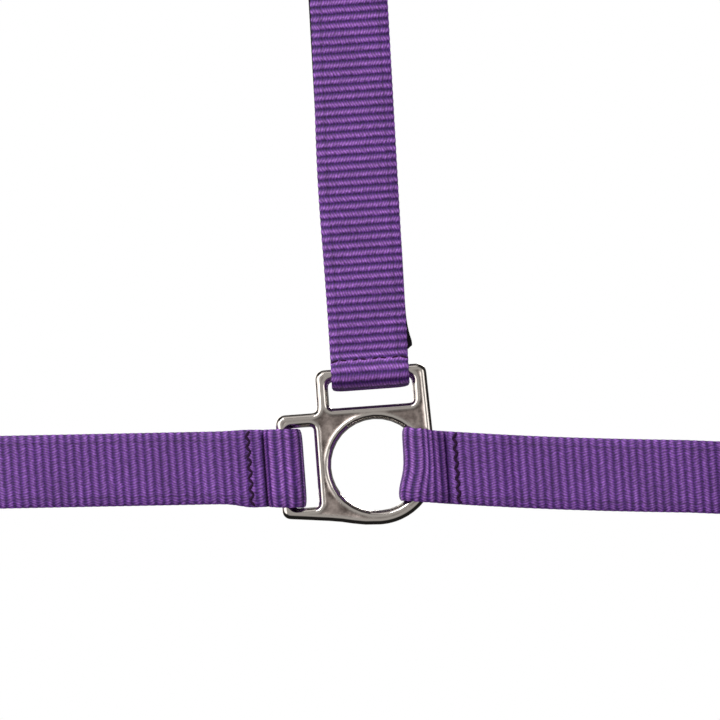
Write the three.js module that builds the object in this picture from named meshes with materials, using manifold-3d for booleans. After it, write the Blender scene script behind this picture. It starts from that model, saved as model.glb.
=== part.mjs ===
// A head halter of nylon webbing on cast three-way fittings, in millimetres, +Z up.
// The origin is the centre of the near side's ring. +X runs back along the head, away from
// the nose, +Y runs from the near side to the off side, and the crown is up.
import * as THREE from 'three';
import { mergeVertices } from 'three/addons/utils/BufferGeometryUtils.js';
import Module from 'manifold-3d';

const wasm = await Module();
wasm.setup();

// ---- driving dimensions ----
const HEAD_WIDTH = 114;         // near fitting's mid-plane to the off fitting's
const TILT = 4.2;               // degrees that the fittings lean, top towards the nose
const WEB_THICK = 1.9;          // one layer of webbing
const LAYER_PITCH = 2.3;        // from one sewn layer to the next
const NOSE_WIDTH = 24.4;        // webbing width of the nose and chin straps
const CHEEK_WIDTH = 26;         // webbing width of the cheek and crown straps

const PLATE_THICK = 4.2;        // cast fitting
const PLATE_EDGE = 1.2;         // its rounded edge
const RING_HOLE = 15.5;         // radius
const RING_OUTER = 20;          // radius
const CORNER = 3;               // outline corner radius
const SLOT_CORNER = 1.5;
const TOP_EDGE = 32.7;          // the fitting's outline, measured from the ring's centre
const TOP_LEFT = -18.5;
const TOP_RIGHT = 18.75;
const ARM_TOP = 18.7;
const ARM_LEFT = -32.6;
const ARM_BOTTOM = -16.1;
const TOP_SLOT = { left: -14.6, right: 13.9, low: 19.75, high: 29 };
const SIDE_SLOT = { left: -29.1, right: -20.1, low: -12.8, high: 14.4 };

const TOP_BAR = (TOP_EDGE + TOP_SLOT.high) / 2;

const NOSE_SLOPE = -0.0533;     // rise of the nose strap across the fitting's own upright
const CHIN_SLOPE = -0.115;
const CHIN_RAISE = 0.56;
const CHEEK_SLOPE = 0.0164;     // sideways drift of the cheek strap per millimetre of height
const FRONT_BEND = -115;        // where the nose strap starts round the front of the nose
const CHIN_BEND = 103;          // and the chin strap round the jaw
const BEND_RADIUS = 45;

const HEEL_BAR = 222;           // height of the buckle's heel bar
const BUCKLE_RISE = 28;         // heel bar to the buckle's top bar
const CROWN_CENTRE = 347;       // height where the crown strap starts over the poll
const BILLET_TIP = 279;
const EYELETS = 5;
const EYELET_PITCH = 13;
const EYELET_HOLE = 3.3;        // radius of the punched hole

const metal = { color: 0x8a8480, metalness: 1, roughness: 0.3 };
const purple = { color: 0x6f4a8e, metalness: 0, roughness: 0.75 };
const black = { color: 0x1a141f, metalness: 0, roughness: 0.9 };
const thread = { color: 0x33203f, metalness: 0, roughness: 0.8 };

const halter = new THREE.Group();
halter.rotation.y = -THREE.MathUtils.degToRad(TILT);

function addPiece(name, geometry, finish) {
  const mesh = new THREE.Mesh(geometry, new THREE.MeshStandardMaterial(finish));
  mesh.name = name;
  halter.add(mesh);
}

// ---- solids from a drawn path ----

// The outline of a strip of the given thickness that follows a list of points.
function stripShape(points, thickness = WEB_THICK) {
  const left = [];
  const right = [];
  points.forEach((point, i) => {
    const before = points[Math.max(i - 1, 0)];
    const after = points[Math.min(i + 1, points.length - 1)];
    const along = new THREE.Vector2().subVectors(after, before).normalize();
    const side = new THREE.Vector2(-along.y, along.x).multiplyScalar(thickness / 2);
    left.push(point.clone().add(side));
    right.push(point.clone().sub(side));
  });
  return new THREE.Shape([...left, ...right.reverse()]);
}

// A path's points with the doubles at the joins left out.
function pathPoints(path, divisions = 6) {
  const points = [];
  for (const point of path.getPoints(divisions)) {
    const last = points.at(-1);
    if (!last || last.distanceTo(point) > 1e-3) points.push(point);
  }
  return points;
}

// Carries a muzzle strap's path, drawn as (along, layer), over to another layer in an S-bend.
// The shares say how far the curve keeps to the layer it leaves and the one it reaches.
function crossOver(path, along, layer, leave = 0.5, arrive = 0.5) {
  const from = path.currentPoint.clone();
  const first = THREE.MathUtils.lerp(from.x, along, leave);
  const second = THREE.MathUtils.lerp(along, from.x, arrive);
  path.bezierCurveTo(first, from.y, second, layer, along, layer);
}

// The same for a head strap, whose path is drawn as (layer, height).
function crossUp(path, layer, height) {
  const from = path.currentPoint.clone();
  const middle = (from.y + height) / 2;
  path.bezierCurveTo(from.x, middle, layer, middle, layer, height);
}

// Half a muzzle strap's points, followed by the same half seen from the off side.
function bothSides(half) {
  const mirrored = half.map((p) => new THREE.Vector2(p.x, HEAD_WIDTH - p.y)).reverse();
  return [...half, ...mirrored];
}

// A muzzle strap: drawn from above, and as wide as the webbing along the fitting's upright.
function muzzleStrap(points, slope, raise) {
  const solid = new THREE.ExtrudeGeometry(stripShape(points), { depth: NOSE_WIDTH, bevelEnabled: false });
  solid.translate(0, 0, raise - NOSE_WIDTH / 2);
  return solid.applyMatrix4(new THREE.Matrix4().set(1, 0, 0, 0, 0, 1, 0, 0, slope, 0, 1, 0, 0, 0, 0, 1));
}

// A head strap: drawn from the front as (y, height), and as wide as the webbing across it.
function headStrap(points, { width = CHEEK_WIDTH, slope = CHEEK_SLOPE, shift = 0 } = {}) {
  const solid = new THREE.ExtrudeGeometry(stripShape(points), { depth: width, bevelEnabled: false });
  solid.translate(0, 0, shift - width / 2);
  const place = new THREE.Matrix4().set(
    0, slope, 1, -slope * TOP_BAR,
    1, 0, 0, 0,
    0, 1, 0, 0,
    0, 0, 0, 1,
  );
  return solid.applyMatrix4(place);
}

// ---- solids that are cut or joined ----

function toSolid(geometry) {
  const bare = geometry.clone();
  bare.deleteAttribute('normal');
  bare.deleteAttribute('uv');
  const merged = mergeVertices(bare.index ? bare.toNonIndexed() : bare, 1e-4);
  return new wasm.Manifold(new wasm.Mesh({
    numProp: 3,
    vertProperties: new Float32Array(merged.attributes.position.array),
    triVerts: new Uint32Array(merged.index.array),
  }));
}

function toGeometry(solid) {
  const mesh = solid.getMesh();
  const geometry = new THREE.BufferGeometry();
  geometry.setAttribute('position', new THREE.BufferAttribute(mesh.vertProperties, mesh.numProp));
  geometry.setIndex(new THREE.BufferAttribute(mesh.triVerts, 1));
  return geometry;
}

// A rounded rectangle, drawn counter-clockwise, as the outline or a hole.
function roundedRectangle(path, left, right, low, high, radius) {
  path.moveTo(left + radius, low);
  path.lineTo(right - radius, low);
  path.absarc(right - radius, low + radius, radius, -Math.PI / 2, 0);
  path.lineTo(right, high - radius);
  path.absarc(right - radius, high - radius, radius, 0, Math.PI / 2);
  path.lineTo(left + radius, high);
  path.absarc(left + radius, high - radius, radius, Math.PI / 2, Math.PI);
  path.lineTo(left, low + radius);
  path.absarc(left + radius, low + radius, radius, Math.PI, Math.PI * 1.5);
  return path;
}

// ---- the cast three-way fitting: a slot on top, a slot at the side and a round ring ----
const RING_LEAVES = THREE.MathUtils.degToRad(12);  // where the ring's outside runs into the body
const INNER_FILLET = 2;         // in the corner between the two slots' frames
const ARM_FOOT = -17;           // where the arm's lower edge begins to sweep into the ring
const FOOT_DROP = 1.5;

function fittingOutline() {
  const shape = new THREE.Shape();
  shape.moveTo(0, -RING_OUTER);
  shape.absarc(0, 0, RING_OUTER, -Math.PI / 2, -Math.PI / 5);
  shape.absarc(0, 0, RING_OUTER, -Math.PI / 5, RING_LEAVES);
  shape.lineTo(TOP_RIGHT, TOP_EDGE - CORNER);
  shape.absarc(TOP_RIGHT - CORNER, TOP_EDGE - CORNER, CORNER, 0, Math.PI / 2);
  shape.lineTo(TOP_LEFT + CORNER, TOP_EDGE);
  shape.absarc(TOP_LEFT + CORNER, TOP_EDGE - CORNER, CORNER, Math.PI / 2, Math.PI);
  shape.lineTo(TOP_LEFT, ARM_TOP + INNER_FILLET);
  shape.quadraticCurveTo(TOP_LEFT, ARM_TOP, TOP_LEFT - INNER_FILLET, ARM_TOP);
  shape.lineTo(ARM_LEFT + CORNER, ARM_TOP);
  shape.absarc(ARM_LEFT + CORNER, ARM_TOP - CORNER, CORNER, Math.PI / 2, Math.PI);
  shape.lineTo(ARM_LEFT, ARM_BOTTOM + CORNER);
  shape.absarc(ARM_LEFT + CORNER, ARM_BOTTOM + CORNER, CORNER, Math.PI, Math.PI * 1.5);
  shape.lineTo(ARM_FOOT, ARM_BOTTOM - FOOT_DROP);
  shape.bezierCurveTo(ARM_FOOT + 6, ARM_BOTTOM - FOOT_DROP * 1.4, -8, -RING_OUTER, 0, -RING_OUTER);
  return shape;
}

function fittingGeometry() {
  const shape = fittingOutline();
  const ring = new THREE.Path();
  ring.moveTo(RING_HOLE, 0);
  for (let quarter = 0; quarter < 4; quarter += 1) {
    ring.absarc(0, 0, RING_HOLE, quarter * Math.PI / 2, (quarter + 1) * Math.PI / 2);
  }
  shape.holes.push(ring);
  for (const slot of [TOP_SLOT, SIDE_SLOT]) {
    const { left, right, low, high } = slot;
    shape.holes.push(roundedRectangle(new THREE.Path(), left, right, low, high, SLOT_CORNER));
  }
  return plateGeometry(shape, PLATE_THICK, PLATE_EDGE);
}

// A flat casting of the drawn shape, standing in the plane of the straps, with chamfered edges.
function plateGeometry(shape, thickness, edge) {
  const plate = new THREE.ExtrudeGeometry(shape, {
    depth: thickness - 2 * edge,
    bevelThickness: edge,
    bevelSize: edge,
    bevelOffset: -edge,
    bevelSegments: 1,
    curveSegments: 4,
  });
  plate.translate(0, 0, -thickness / 2 + edge);
  return plate.rotateX(Math.PI / 2);
}

addPiece('near_fitting', fittingGeometry(), metal);
addPiece('off_fitting', fittingGeometry().translate(0, HEAD_WIDTH, 0), metal);

// ---- the nose strap: an inner layer looped on both fittings, and a layer sewn over it ----
const LOOP_REACH = 3.7;         // side bar's centre to the middle of the webbing round it
const NOSE_FOLD = -29.25;       // where the loop's half-round turn has its centre
const NOSE_CREST = -33;         // where the loop comes down off the bar
const NOSE_DIVE = -37.8;        // where it lies flat under the outer layer
const NOSE_LAP = -37.8;         // the outer layer's cut end
const NOSE_TAIL = -50;          // the inner layer's cut end
const TAIL_STEP = 2;            // the layers over a tail come together this far past its end
const STEP_RUN = 8;             // and take this length to do it
const MIDDLE_GAP = 0.5;         // half the gap that is left at a strap's middle before mirroring

function frontBend(path, offset) {
  path.absarc(FRONT_BEND, BEND_RADIUS, BEND_RADIUS - offset, -Math.PI / 2, -Math.PI, true);
  path.lineTo(FRONT_BEND - BEND_RADIUS + offset, HEAD_WIDTH / 2 - MIDDLE_GAP);
}

function noseLoopPath() {
  const path = new THREE.Path();
  path.moveTo(NOSE_TAIL, 0);
  path.lineTo(NOSE_DIVE, 0);
  crossOver(path, NOSE_CREST, -LOOP_REACH);
  path.lineTo(NOSE_FOLD, -LOOP_REACH);
  path.absarc(NOSE_FOLD, 0, LOOP_REACH, -Math.PI / 2, Math.PI / 2);
  path.lineTo(NOSE_CREST, LOOP_REACH);
  crossOver(path, NOSE_DIVE, LAYER_PITCH);
  path.lineTo(NOSE_TAIL - TAIL_STEP, LAYER_PITCH);
  crossOver(path, NOSE_TAIL - TAIL_STEP - STEP_RUN, LAYER_PITCH / 2);
  path.lineTo(FRONT_BEND, LAYER_PITCH / 2);
  frontBend(path, LAYER_PITCH / 2);
  return path;
}

function noseOuterPath() {
  const path = new THREE.Path();
  path.moveTo(NOSE_LAP, -LAYER_PITCH);
  path.lineTo(NOSE_TAIL - TAIL_STEP, -LAYER_PITCH);
  crossOver(path, NOSE_TAIL - TAIL_STEP - STEP_RUN, -LAYER_PITCH / 2);
  path.lineTo(FRONT_BEND, -LAYER_PITCH / 2);
  frontBend(path, -LAYER_PITCH / 2);
  return path;
}

addPiece('nose_loop_strap', muzzleStrap(bothSides(pathPoints(noseLoopPath())), NOSE_SLOPE, 0), purple);
addPiece('nose_outer_strap', muzzleStrap(bothSides(pathPoints(noseOuterPath())), NOSE_SLOPE, 0), purple);

// ---- the chin strap: the same build, looped round the rings ----
const RING_REACH = 4.75;        // ring's mid-plane to the middle of the webbing round it
const CHIN_FOLD = 11.35;
const CHIN_CREST = { near: 15, inner: 19 };  // where the loop comes down off the ring
const CHIN_DIVE = 25;
const CHIN_LAP = 24;
const CHIN_TAIL = 38;

function jawBend(path, offset) {
  path.absarc(CHIN_BEND, BEND_RADIUS, BEND_RADIUS - offset, -Math.PI / 2, 0);
  path.lineTo(CHIN_BEND + BEND_RADIUS - offset, HEAD_WIDTH / 2 - MIDDLE_GAP);
}

function chinLoopPath() {
  const path = new THREE.Path();
  path.moveTo(CHIN_TAIL, 0);
  path.lineTo(CHIN_DIVE, 0);
  crossOver(path, CHIN_CREST.near, -RING_REACH, 0.35, 0.8);
  path.lineTo(CHIN_FOLD, -RING_REACH);
  path.absarc(CHIN_FOLD, 0, RING_REACH, -Math.PI / 2, -Math.PI * 1.5, true);
  path.lineTo(CHIN_CREST.inner, RING_REACH);
  crossOver(path, CHIN_DIVE, LAYER_PITCH);
  path.lineTo(CHIN_TAIL + TAIL_STEP, LAYER_PITCH);
  crossOver(path, CHIN_TAIL + TAIL_STEP + STEP_RUN, LAYER_PITCH / 2);
  path.lineTo(CHIN_BEND, LAYER_PITCH / 2);
  jawBend(path, LAYER_PITCH / 2);
  return path;
}

function chinOuterPath() {
  const path = new THREE.Path();
  path.moveTo(CHIN_LAP, -LAYER_PITCH);
  path.lineTo(CHIN_TAIL + TAIL_STEP, -LAYER_PITCH);
  crossOver(path, CHIN_TAIL + TAIL_STEP + STEP_RUN, -LAYER_PITCH / 2);
  path.lineTo(CHIN_BEND, -LAYER_PITCH / 2);
  jawBend(path, -LAYER_PITCH / 2);
  return path;
}

const chinLoop = muzzleStrap(bothSides(pathPoints(chinLoopPath())), CHIN_SLOPE, CHIN_RAISE);
const chinOuter = muzzleStrap(bothSides(pathPoints(chinOuterPath())), CHIN_SLOPE, CHIN_RAISE);
addPiece('chin_loop_strap', chinLoop, purple);
addPiece('chin_outer_strap', chinOuter, purple);

// ---- the near cheek strap: looped on the fitting below and on the buckle above ----
const BAR_REACH = 3.9;          // top bar's centre to the middle of the webbing round it
const CHEEK_FOLD = 30.55;
const CHEEK_CLOSE = 38;         // height where the two layers of the loop have come together
const CHEEK_TAIL = 62;          // how far up the tail behind the strap reaches
const HEEL_CLOSE = 8;           // the same below the buckle, measured down from its heel bar
const HEEL_TAIL = 62;
const FRONT_LAYER = -LAYER_PITCH / 2;
const BACK_LAYER = LAYER_PITCH / 2;

function cheekPath() {
  const path = new THREE.Path();
  path.moveTo(BACK_LAYER, CHEEK_TAIL);
  path.lineTo(BACK_LAYER, CHEEK_CLOSE);
  crossUp(path, BAR_REACH, CHEEK_FOLD);
  path.absarc(0, CHEEK_FOLD, BAR_REACH, 0, -Math.PI, true);
  crossUp(path, FRONT_LAYER, CHEEK_CLOSE);
  path.lineTo(FRONT_LAYER, HEEL_BAR - HEEL_CLOSE);
  crossUp(path, -BAR_REACH, HEEL_BAR);
  path.absarc(0, HEEL_BAR, BAR_REACH, Math.PI, 0, true);
  crossUp(path, BACK_LAYER, HEEL_BAR - HEEL_CLOSE);
  path.lineTo(BACK_LAYER, HEEL_BAR - HEEL_TAIL);
  return path;
}

// The drift of the cheek strap at a height above the ring's centre.
function drift(height) {
  return CHEEK_SLOPE * (height - TOP_BAR);
}

function boxAt(width, depth, height, x, y, z) {
  return new THREE.BoxGeometry(width, depth, height).translate(x, y, z);
}

const TONGUE_SLOT = { width: 8, height: 13, raise: 0.5 };
const CUT_DEPTH = 20;           // more than the webbing's loop is deep
const tongueSlot = boxAt(TONGUE_SLOT.width, CUT_DEPTH, TONGUE_SLOT.height,
  drift(HEEL_BAR), 0, HEEL_BAR + TONGUE_SLOT.raise);
const cheekSolid = toSolid(headStrap(pathPoints(cheekPath()))).subtract(toSolid(tongueSlot));
addPiece('near_cheek_strap', toGeometry(cheekSolid), purple);

const LINING_LAYER = LAYER_PITCH * 1.5;
const LINING_SLOPE = -0.004;    // the lining is sewn a little crooked
const LINING_SHIFT = 1.4;
const LINING_STEP = 10;         // the length it takes to come in over the tail's end
const LINING_ENDS = { low: CHEEK_CLOSE - 1.5, high: HEEL_BAR - HEEL_TAIL - 3 };

// Behind the tail at its lower end, then against the strap itself.
function liningPath() {
  const path = new THREE.Path();
  path.moveTo(LINING_LAYER, LINING_ENDS.low);
  path.lineTo(LINING_LAYER, CHEEK_TAIL + 2);
  crossUp(path, BACK_LAYER, CHEEK_TAIL + 2 + LINING_STEP);
  path.lineTo(BACK_LAYER, LINING_ENDS.high);
  return path;
}

const cheekLining = headStrap(pathPoints(liningPath()), { slope: LINING_SLOPE, shift: LINING_SHIFT });
addPiece('near_cheek_lining', cheekLining, black);

// ---- the near buckle: a cast frame and the tongue that turns on its heel bar ----
const FRAME_BAR = 3.6;          // width of the frame's bars
const FRAME_THICK = 3.4;
const FRAME_HALF = 17.6;        // half its outside width
const FRAME_EDGE = 1;
const TONGUE_THICK = 3;
const TONGUE_WIDTH = 4.6;
const TONGUE_EYE = { hole: 2.7, outer: 4.4 };
const TONGUE_FOOT = { layer: -2.4, rise: 3.4 };  // where the prong leaves the eye
const TONGUE_REST = -3.6;       // the prong lies on the top bar's front
const TONGUE_PAST = 4.5;        // and reaches this far past it

function buckleFrame() {
  const low = HEEL_BAR - FRAME_BAR / 2;
  const high = HEEL_BAR + BUCKLE_RISE + FRAME_BAR / 2;
  const middle = drift(HEEL_BAR);
  const [left, right] = [middle - FRAME_HALF, middle + FRAME_HALF];
  const shape = roundedRectangle(new THREE.Shape(), left, right, low, high, CORNER + 1);
  const hole = roundedRectangle(new THREE.Path(), left + FRAME_BAR, right - FRAME_BAR,
    low + FRAME_BAR, high - FRAME_BAR, SLOT_CORNER);
  shape.holes.push(hole);
  return plateGeometry(shape, FRAME_THICK, FRAME_EDGE);
}

function tongueGeometry() {
  const depth = { depth: TONGUE_WIDTH, bevelEnabled: false, curveSegments: 10 };
  const eye = new THREE.Shape();
  eye.absarc(0, HEEL_BAR, TONGUE_EYE.outer, 0, Math.PI * 2);
  eye.holes.push(new THREE.Path().absarc(0, HEEL_BAR, TONGUE_EYE.hole, 0, Math.PI * 2));
  const top = HEEL_BAR + BUCKLE_RISE;
  const prong = new THREE.Path();
  prong.moveTo(TONGUE_FOOT.layer, HEEL_BAR + TONGUE_FOOT.rise);
  crossUp(prong, TONGUE_REST, top - 2);
  prong.lineTo(TONGUE_REST, top + TONGUE_PAST);
  const prongShape = stripShape(pathPoints(prong), TONGUE_THICK);
  const eyeSolid = toSolid(new THREE.ExtrudeGeometry(eye, depth));
  const geometry = toGeometry(eyeSolid.add(toSolid(new THREE.ExtrudeGeometry(prongShape, depth))));
  geometry.translate(0, 0, -TONGUE_WIDTH / 2);
  const stand = new THREE.Matrix4().set(0, 0, 1, drift(HEEL_BAR), 1, 0, 0, 0, 0, 1, 0, 0, 0, 0, 0, 1);
  return geometry.applyMatrix4(stand);
}

addPiece('buckle_frame', buckleFrame(), metal);
addPiece('buckle_tongue', tongueGeometry(), metal);

// ---- two webbing keepers round the cheek strap, one sewn and one that slides ----
const KEEPER_HEIGHT = 11;
const KEEPER_THICK = 1.6;
const KEEPER_ROOM = { half: 13.5, front: -4.9, back: 2.6, corner: 0.8 };
const SEWN_KEEPER = HEEL_BAR - 27;      // height of its lower edge
const SLIDING_KEEPER = HEEL_BAR - 48;

function keeperGeometry(low) {
  const middle = drift(low + KEEPER_HEIGHT / 2);
  const [left, right] = [middle - KEEPER_ROOM.half, middle + KEEPER_ROOM.half];
  const { front, back, corner } = KEEPER_ROOM;
  const outline = roundedRectangle(new THREE.Shape(), left - KEEPER_THICK, right + KEEPER_THICK,
    front - KEEPER_THICK, back + KEEPER_THICK, corner + KEEPER_THICK);
  outline.holes.push(roundedRectangle(new THREE.Path(), left, right, front, back, corner));
  const band = new THREE.ExtrudeGeometry(outline, {
    depth: KEEPER_HEIGHT, bevelEnabled: false, curveSegments: 2,
  });
  return band.translate(0, 0, low);
}

addPiece('sewn_keeper', keeperGeometry(SEWN_KEEPER), purple);
addPiece('sliding_keeper', keeperGeometry(SLIDING_KEEPER), purple);

// ---- the crown strap: looped on the off fitting, over the poll, down to the punched end ----
const FIRST_EYELET = 14;        // billet's tip to the first hole
const PUNCH_LENGTH = 12;
const POINT_FLAT = 3;           // half the blunt end that the pointed cut leaves
const POINT_RISE = 5;           // height of the cut's upper end, near the webbing's edge
const LINING_INSET = 2;         // the crown's lining is this much narrower and shorter

function crownPath() {
  const outer = HEAD_WIDTH / 2 - FRONT_LAYER;
  const path = new THREE.Path();
  const off = (y) => HEAD_WIDTH - y;
  path.moveTo(off(BACK_LAYER), CHEEK_TAIL);
  path.lineTo(off(BACK_LAYER), CHEEK_CLOSE);
  crossUp(path, off(BAR_REACH), CHEEK_FOLD);
  path.absarc(HEAD_WIDTH, CHEEK_FOLD, BAR_REACH, -Math.PI, 0);
  crossUp(path, off(FRONT_LAYER), CHEEK_CLOSE);
  path.lineTo(off(FRONT_LAYER), CROWN_CENTRE);
  path.absarc(HEAD_WIDTH / 2, CROWN_CENTRE, outer, 0, Math.PI / 2);
  path.absarc(HEAD_WIDTH / 2, CROWN_CENTRE, outer, Math.PI / 2, Math.PI);
  path.lineTo(FRONT_LAYER, BILLET_TIP);
  return path;
}

function eyeletHeight(index) {
  return BILLET_TIP + FIRST_EYELET + index * EYELET_PITCH;
}

function crownGeometry() {
  let crown = toSolid(headStrap(pathPoints(crownPath())));
  for (let i = 0; i < EYELETS; i += 1) {
    const height = eyeletHeight(i);
    const punch = new THREE.CylinderGeometry(EYELET_HOLE, EYELET_HOLE, PUNCH_LENGTH, 20);
    crown = crown.subtract(toSolid(punch.translate(drift(height), 0, height)));
  }
  return toGeometry(crown.subtract(billetPoint()));
}

// The two corners that are cut off the billet to leave its point.
function billetPoint() {
  const middle = drift(BILLET_TIP);
  const reach = CHEEK_WIDTH / 2;
  const corners = [1, -1].map((side) => {
    const corner = new THREE.Shape();
    corner.moveTo(middle + side * POINT_FLAT, BILLET_TIP - 1);
    corner.lineTo(middle + side * (reach + 1), BILLET_TIP - 1);
    corner.lineTo(middle + side * (reach + 1), BILLET_TIP + POINT_RISE + 3);
    corner.lineTo(middle + side * (reach - 2), BILLET_TIP + POINT_RISE);
    const wedge = new THREE.ExtrudeGeometry(corner, { depth: PUNCH_LENGTH, bevelEnabled: false });
    return toSolid(wedge.translate(0, 0, -PUNCH_LENGTH / 2).rotateX(Math.PI / 2));
  });
  return corners[0].add(corners[1]);
}

addPiece('crown_strap', crownGeometry(), purple);

function crownLiningPath() {
  const inner = HEAD_WIDTH / 2 - BACK_LAYER;
  const path = new THREE.Path();
  path.moveTo(HEAD_WIDTH / 2 + inner, CHEEK_TAIL + LINING_INSET);
  path.lineTo(HEAD_WIDTH / 2 + inner, CROWN_CENTRE);
  path.absarc(HEAD_WIDTH / 2, CROWN_CENTRE, inner, 0, Math.PI / 2);
  path.absarc(HEAD_WIDTH / 2, CROWN_CENTRE, inner, Math.PI / 2, Math.PI * 0.97);
  return path;
}
const crownLining = headStrap(pathPoints(crownLiningPath()), { width: CHEEK_WIDTH - LINING_INSET });
addPiece('crown_lining', crownLining, black);

// ---- the eyelets in the billet's punched holes ----
const EYELET_BORE = 2.1;
const EYELET_FLANGE = 4.8;
const EYELET_GAP = 0.3;         // all round the eyelet, to the webbing
const FLANGE_RIM = 0.4;         // the flange's thickness at its rim and at its bore
const FLANGE_LIP = 0.5;

function eyeletGeometry(height) {
  const half = WEB_THICK / 2 + EYELET_GAP;
  const barrel = EYELET_HOLE - EYELET_GAP;
  const [rim, lip] = [half + FLANGE_RIM, half + FLANGE_LIP];
  const profile = [
    [EYELET_BORE, -lip], [EYELET_FLANGE, -rim], [EYELET_FLANGE, -half], [barrel, -half],
    [barrel, half], [EYELET_FLANGE, half], [EYELET_FLANGE, rim], [EYELET_BORE, lip],
    [EYELET_BORE, -lip],
  ];
  const ring = new THREE.LatheGeometry(profile.map(([r, h]) => new THREE.Vector2(r, h)), 16);
  return ring.translate(drift(height), FRONT_LAYER, height);
}

for (let i = 0; i < EYELETS; i += 1) {
  addPiece(`eyelet_${i + 1}`, eyeletGeometry(eyeletHeight(i)), metal);
}

// ---- the seams: a line of thread across each sewn loop ----
const SEAM_THICK = 0.5;
const SEAM_GAP = 0.3;
const SEAM_WIDE = 1.2;
const SEAM_INSET = 3;           // both ends of a seam together, in from the webbing's edges
const NOSE_SEAM = -42.3;        // where each seam crosses its strap
const CHIN_SEAM = 26.5;
const CHEEK_SEAM = 39;
const BUCKLE_SEAM = HEEL_BAR - 12;

// A seam across a muzzle strap, outside the layer whose middle is at the given distance.
function muzzleSeam(along, slope, raise, side) {
  const proud = LAYER_PITCH + WEB_THICK / 2 + SEAM_GAP + SEAM_THICK / 2;
  const y = side === 'near' ? -proud : HEAD_WIDTH + proud;
  return boxAt(SEAM_WIDE, SEAM_THICK, NOSE_WIDTH - SEAM_INSET, along, y, raise + slope * along);
}

// A seam across a head strap's front layer.
function headSeam(height, side) {
  const proud = LAYER_PITCH / 2 + WEB_THICK / 2 + SEAM_GAP + SEAM_THICK / 2;
  const y = side === 'near' ? -proud : HEAD_WIDTH + proud;
  return boxAt(CHEEK_WIDTH - SEAM_INSET, SEAM_THICK, SEAM_WIDE, drift(height), y, height);
}

for (const side of ['near', 'off']) {
  addPiece(`nose_seam_${side}`, muzzleSeam(NOSE_SEAM, NOSE_SLOPE, 0, side), thread);
  addPiece(`chin_seam_${side}`, muzzleSeam(CHIN_SEAM, CHIN_SLOPE, CHIN_RAISE, side), thread);
  addPiece(`cheek_seam_${side}`, headSeam(CHEEK_SEAM, side), thread);
}
addPiece('buckle_seam', headSeam(BUCKLE_SEAM, 'near'), thread);

export default halter;
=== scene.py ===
import bpy
import math
import numpy as np
from mathutils import Matrix, Vector
from mathutils.kdtree import KDTree


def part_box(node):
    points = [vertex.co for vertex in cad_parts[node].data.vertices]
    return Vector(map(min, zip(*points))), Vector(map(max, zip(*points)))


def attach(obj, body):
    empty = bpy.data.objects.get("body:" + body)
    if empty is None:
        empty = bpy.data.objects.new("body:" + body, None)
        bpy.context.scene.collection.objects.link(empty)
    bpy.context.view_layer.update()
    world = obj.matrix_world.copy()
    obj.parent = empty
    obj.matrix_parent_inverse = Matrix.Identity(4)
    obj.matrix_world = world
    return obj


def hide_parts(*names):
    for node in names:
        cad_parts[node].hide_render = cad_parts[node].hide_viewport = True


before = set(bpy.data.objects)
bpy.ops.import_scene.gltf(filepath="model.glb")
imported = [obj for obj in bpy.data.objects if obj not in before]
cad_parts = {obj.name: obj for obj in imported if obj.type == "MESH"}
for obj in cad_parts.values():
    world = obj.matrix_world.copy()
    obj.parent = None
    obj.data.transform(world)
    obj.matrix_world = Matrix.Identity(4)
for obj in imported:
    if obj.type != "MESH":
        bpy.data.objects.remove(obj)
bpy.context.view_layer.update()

MM = 0.001
bpy.ops.object.select_all(action="DESELECT")

# ---------------------------------------------------------------- viewpoint
# Square to the near side and level with the near ring, aimed a little above it, and far enough
# off that the off side's straps stay behind the near side's.
look_at = Vector((-5.6 * MM, 0, 34.9 * MM))
camera_away = 6.0
seen_width = 240 * MM
camera_data = bpy.data.cameras.new("halter_camera")
camera_data.sensor_width = 36
camera_data.lens = camera_data.sensor_width * camera_away / seen_width
camera_data.clip_end = 60
camera = bpy.data.objects.new("halter_camera", camera_data)
camera.location = (0, -camera_away, 0)
camera.rotation_euler = (look_at - camera.location).to_track_quat("-Z", "Y").to_euler()
bpy.context.scene.collection.objects.link(camera)
bpy.context.scene.camera = camera

# ---------------------------------------------------------------- studio
# A large softbox high on the left, a weak one on the right and one behind. Each has its place
# and its side in metres, and its power in watts.
scene = bpy.context.scene
scene.view_settings.view_transform = "Standard"
lamp_target = Vector((0, 0, 50 * MM))
softboxes = [
    ("key_softbox", (-0.9, -1.3, 1.2), 0.9, 30),
    ("fill_softbox", (1.2, -1.2, 0.3), 0.7, 2.2),
    ("back_softbox", (0.5, 1.5, 1.1), 0.9, 26),
]
for name, place, side, watts in softboxes:
    light = bpy.data.lights.new(name, "AREA")
    light.size = side
    light.energy = watts
    lamp = bpy.data.objects.new(name, light)
    lamp.location = place
    lamp.rotation_euler = (lamp_target - lamp.location).to_track_quat("-Z", "Y").to_euler()
    scene.collection.objects.link(lamp)


def add_node(tree, kind, settings=(), **links):
    """
    One node with its settings. Each input, by name or as in0, in1 and so on, is linked to a
    socket or to a node's first output, or is set to a value.
    """
    node = tree.nodes.new(kind)
    for key, value in dict(settings).items():
        setattr(node, key, value)
    for key, value in links.items():
        numbered = key.startswith("in") and key[2:].isdigit()
        socket = node.inputs[int(key[2:]) if numbered else key.replace("_", " ")]
        if isinstance(value, bpy.types.Node):
            value = value.outputs[0]
        if isinstance(value, bpy.types.NodeSocket):
            tree.links.new(value, socket)
        else:
            socket.default_value = value
    return node


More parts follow.
